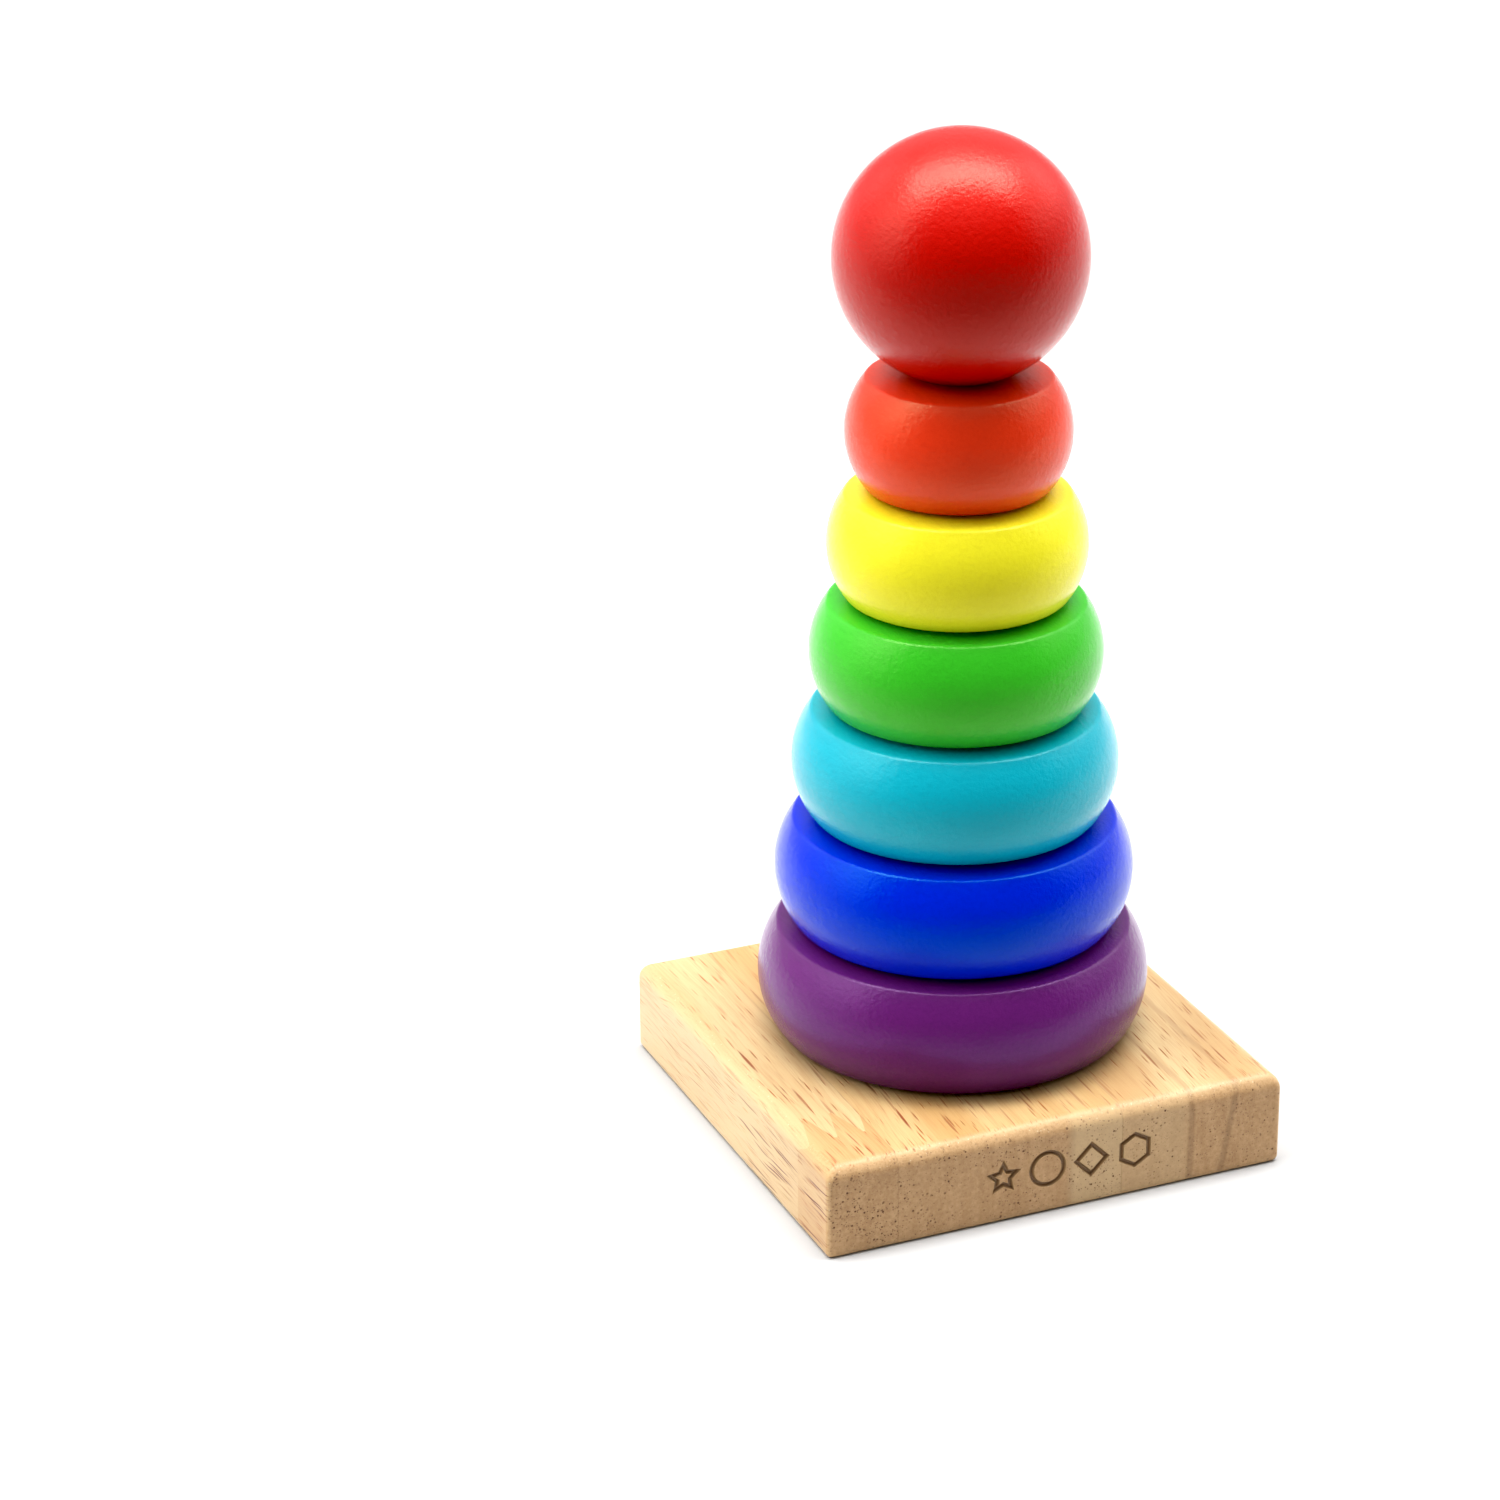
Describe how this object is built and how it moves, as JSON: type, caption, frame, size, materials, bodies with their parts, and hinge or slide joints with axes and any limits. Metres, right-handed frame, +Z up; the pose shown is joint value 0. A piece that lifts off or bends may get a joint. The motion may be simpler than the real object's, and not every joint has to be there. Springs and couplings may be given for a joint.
{
  "type": "stacking ring tower",
  "caption": "Rainbow stacking tower: painted wooden rings of falling size threaded on an upright post over a square wooden base, capped by a ball with a blind bore.",
  "frame": {"origin": "centre of the base's underside", "axes": "+Z up along the post; the base's grain runs along Y, and -Y is the engraved front face"},
  "size_m": [0.1, 0.1, 0.2083],
  "materials": {
    "base_wood": "satin clear lacquer on rubberwood",
    "post_wood": "sanded, bare",
    "screw_steel": "zinc plated",
    "paint_purple": "satin paint on turned wood",
    "paint_blue": "satin paint on turned wood",
    "paint_cyan": "satin paint on turned wood",
    "paint_green": "satin paint on turned wood",
    "paint_yellow": "satin paint on turned wood",
    "paint_orange": "satin paint on turned wood",
    "paint_red": "satin paint on turned wood"
  },
  "bodies": {
    "base": {"base_stave_left_front": "base_wood", "base_stave_left_rear": "base_wood", "base_stave_middle": "base_wood", "base_stave_right": "base_wood", "post": "post_wood", "post_screw": "screw_steel"},
    "ring_purple": {"ring_purple": "paint_purple"},
    "ring_blue": {"ring_blue": "paint_blue"},
    "ring_cyan": {"ring_cyan": "paint_cyan"},
    "ring_green": {"ring_green": "paint_green"},
    "ring_yellow": {"ring_yellow": "paint_yellow"},
    "ring_orange": {"ring_orange": "paint_orange"},
    "ball_red": {"ball_red": "paint_red"}
  },
  "joints": [
    {"name": "purple_lift", "type": "slide", "parent": "base", "child": "ring_purple", "axis": [0, 0, 1], "range_m": [0, 0.1762]},
    {"name": "blue_lift", "type": "slide", "parent": "ring_purple", "child": "ring_blue", "axis": [0, 0, 1], "range_m": [0, 0.1524]},
    {"name": "cyan_lift", "type": "slide", "parent": "ring_blue", "child": "ring_cyan", "axis": [0, 0, 1], "range_m": [0, 0.1292]},
    {"name": "green_lift", "type": "slide", "parent": "ring_cyan", "child": "ring_green", "axis": [0, 0, 1], "range_m": [0, 0.1056]},
    {"name": "yellow_lift", "type": "slide", "parent": "ring_green", "child": "ring_yellow", "axis": [0, 0, 1], "range_m": [0, 0.0826]},
    {"name": "orange_lift", "type": "slide", "parent": "ring_yellow", "child": "ring_orange", "axis": [0, 0, 1], "range_m": [0, 0.06]},
    {"name": "ball_lift", "type": "slide", "parent": "ring_orange", "child": "ball_red", "axis": [0, 0, 1], "range_m": [0, 0.036]}
  ]
}
